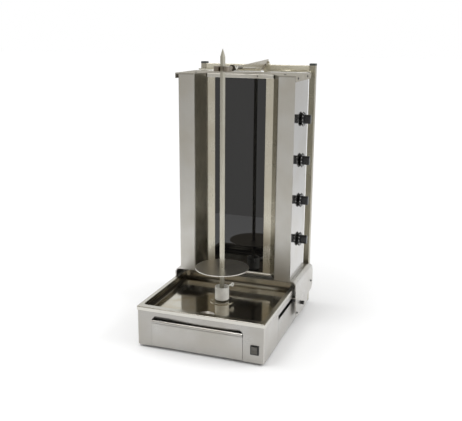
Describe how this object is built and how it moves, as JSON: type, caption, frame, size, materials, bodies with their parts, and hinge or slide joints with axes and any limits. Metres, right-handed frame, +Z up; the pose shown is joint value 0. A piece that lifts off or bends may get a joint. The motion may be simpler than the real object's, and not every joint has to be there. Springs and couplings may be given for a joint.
{
  "type": "doner kebab grill",
  "caption": "Upright electric doner grill with a turning spit in a drip tray, a fat drawer and a sliding radiant heater.",
  "frame": {"origin": "middle of the footprint at bench level", "axes": "front faces -Y, +X to the right, +Z up"},
  "size_m": [0.544, 0.6798, 1.088],
  "materials": {
    "sheet_steel": "satin",
    "frame_steel": "satin",
    "machined_steel": "smooth",
    "dark_steel": "satin",
    "bright_ball": "polished",
    "cast_alloy": "cast",
    "black_plastic": "matt",
    "knob_plastic": "gloss",
    "foot_rubber": "matt",
    "heat_glass": "polished",
    "radiant_ceramic": "matt"
  },
  "bodies": {
    "base": {"base_shell": "sheet_steel", "side_panel_left": "sheet_steel", "side_panel_right": "sheet_steel", "base_bottom": "sheet_steel", "base_feet": "foot_rubber", "base_rear": "sheet_steel", "cable_gland": "black_plastic", "rear_deck": "sheet_steel", "drip_tray": "sheet_steel", "tray_drain": "machined_steel", "hub_ring": "machined_steel", "finger_pocket": "sheet_steel", "drawer_rails": "sheet_steel", "switch_bezel": "black_plastic", "motor_bracket": "sheet_steel", "gear_motor": "cast_alloy", "shaft_bearing": "machined_steel", "post_left": "frame_steel", "post_right": "frame_steel", "post_caps": "black_plastic", "crossbar": "frame_steel", "post_bolts": "machined_steel", "arm_bracket": "frame_steel"},
    "drawer": {"drawer_front": "sheet_steel", "drawer_box": "sheet_steel"},
    "rocker": {"switch_rocker": "black_plastic"},
    "spit_drive": {"drive_shaft": "machined_steel", "hub_cup": "machined_steel"},
    "hub_screw": {"hub_screw": "machined_steel"},
    "spit": {"spit": "machined_steel"},
    "disc": {"disc": "machined_steel", "disc_collar": "machined_steel"},
    "arm": {"arm_plate": "machined_steel", "arm_rod": "machined_steel", "arm_collar": "dark_steel", "arm_fork": "machined_steel"},
    "ball": {"arm_ball": "bright_ball"},
    "carriage": {"carriage_saddle": "sheet_steel", "carriage_bushes": "machined_steel", "glide_pads": "black_plastic", "carriage_screws": "dark_steel", "wing_left": "sheet_steel", "wing_right": "sheet_steel", "control_panel": "sheet_steel", "back_panel": "sheet_steel", "housing_floor": "sheet_steel", "top_cap": "sheet_steel", "top_trim": "sheet_steel", "bottom_trim": "sheet_steel", "light_strips": "sheet_steel", "glass_panel": "heat_glass", "radiant_units": "radiant_ceramic", "insulation_board": "radiant_ceramic", "regulators": "black_plastic"},
    "clamp_left": {"clamp_bolt_left": "black_plastic"},
    "clamp_right": {"clamp_bolt_right": "black_plastic"},
    "knob_1": {"knob_1": "knob_plastic"},
    "knob_2": {"knob_2": "knob_plastic"},
    "knob_3": {"knob_3": "knob_plastic"},
    "knob_4": {"knob_4": "knob_plastic"}
  },
  "joints": [
    {"name": "drawer_slide", "type": "slide", "parent": "base", "child": "drawer", "axis": [0, -1, 0], "range_m": [0, 0.13]},
    {"name": "rocker_tilt", "type": "hinge", "parent": "base", "child": "rocker", "pos_m": [0.212, -0.32275, 0.057], "axis": [1, 0, 0], "range_deg": [0, 14]},
    {"name": "spit_turn", "type": "hinge", "parent": "base", "child": "spit_drive", "pos_m": [0, -0.09475, 0.15], "axis": [0, 0, 1], "continuous": true},
    {"name": "hub_screw_turn", "type": "hinge", "parent": "spit_drive", "child": "hub_screw", "pos_m": [0, -0.09475, 0.179], "axis": [0.4226, 0.9063, 0], "range_deg": [0, 180]},
    {"name": "spit_lift", "type": "slide", "parent": "spit_drive", "child": "spit", "axis": [0, 0, 1], "range_m": [0, 0.05]},
    {"name": "disc_height", "type": "slide", "parent": "spit", "child": "disc", "axis": [0, 0, 1], "range_m": [0, 0.5]},
    {"name": "arm_lift", "type": "hinge", "parent": "base", "child": "arm", "pos_m": [0.04319, 0.319, 1.0255], "axis": [-0.9946, 0.1038, 0], "range_deg": [0, 70]},
    {"name": "ball_turn", "type": "hinge", "parent": "arm", "child": "ball", "pos_m": [0.01131, 0.01358, 1.01635], "axis": [0.1038, 0.9939, -0.038], "range_deg": [0, 180]},
    {"name": "carriage_slide", "type": "slide", "parent": "base", "child": "carriage", "axis": [0, -1, 0], "range_m": [-0.024, 0.08]},
    {"name": "clamp_left_turn", "type": "hinge", "parent": "carriage", "child": "clamp_left", "pos_m": [-0.265, 0.14125, 0.068], "axis": [1, 0, 0], "range_deg": [0, 180]},
    {"name": "clamp_right_turn", "type": "hinge", "parent": "carriage", "child": "clamp_right", "pos_m": [0.265, 0.14125, 0.068], "axis": [1, 0, 0], "range_deg": [0, 180]},
    {"name": "knob_1_turn", "type": "hinge", "parent": "carriage", "child": "knob_1", "pos_m": [0.255, 0.15625, 0.8197], "axis": [1, 0, 0], "range_deg": [0, 270]},
    {"name": "knob_2_turn", "type": "hinge", "parent": "carriage", "child": "knob_2", "pos_m": [0.255, 0.15625, 0.658], "axis": [1, 0, 0], "range_deg": [0, 270]},
    {"name": "knob_3_turn", "type": "hinge", "parent": "carriage", "child": "knob_3", "pos_m": [0.255, 0.15625, 0.4963], "axis": [1, 0, 0], "range_deg": [0, 270]},
    {"name": "knob_4_turn", "type": "hinge", "parent": "carriage", "child": "knob_4", "pos_m": [0.255, 0.15625, 0.3346], "axis": [1, 0, 0], "range_deg": [0, 270]}
  ]
}
